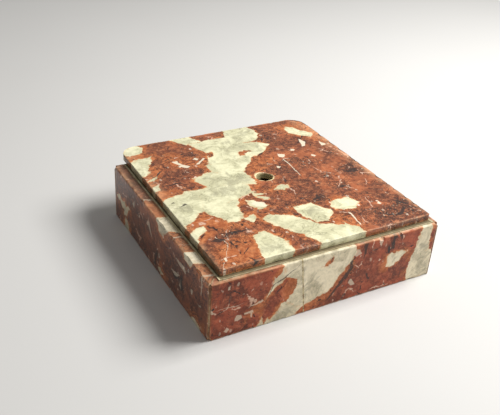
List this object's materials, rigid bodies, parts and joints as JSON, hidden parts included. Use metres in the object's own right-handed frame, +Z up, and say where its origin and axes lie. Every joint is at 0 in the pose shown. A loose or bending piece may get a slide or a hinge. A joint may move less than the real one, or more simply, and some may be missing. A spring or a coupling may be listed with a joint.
{
  "type": "stone plinth",
  "caption": "Square built-up marble plinth: a hollow mitred body of upright slabs under a thin top slab with a plain rod hole, for a lamp or a figure.",
  "frame": {"origin": "on the ground, under the middle of the whole object's box, which the top slab's overhang at the back makes longer than the body", "axes": "+Z up, the shortest extent; -Y is the front, where the top slab leaves a ledge and the front slab is jointed; +X is to the right seen from the front; +Y is the back, which the top slab overhangs"},
  "size_m": [0.15, 0.152, 0.0417],
  "materials": {
    "top_marble": "polished red-brown and cream breccia marble, worn at the edges",
    "body_marble": "polished red-brown and cream breccia marble, worn at the edges",
    "cement": "matt yellowed cement with dust in it"
  },
  "bodies": {
    "root": {"top_slab": "top_marble", "front_slab_left": "body_marble", "front_slab_right": "body_marble", "left_slab": "body_marble", "right_slab": "body_marble", "back_slab": "body_marble", "front_seam_cement": "cement", "front_left_corner_cement": "cement", "front_right_corner_cement": "cement", "back_left_corner_cement": "cement", "back_right_corner_cement": "cement", "top_bed_cement": "cement"}
  },
  "joints": []
}
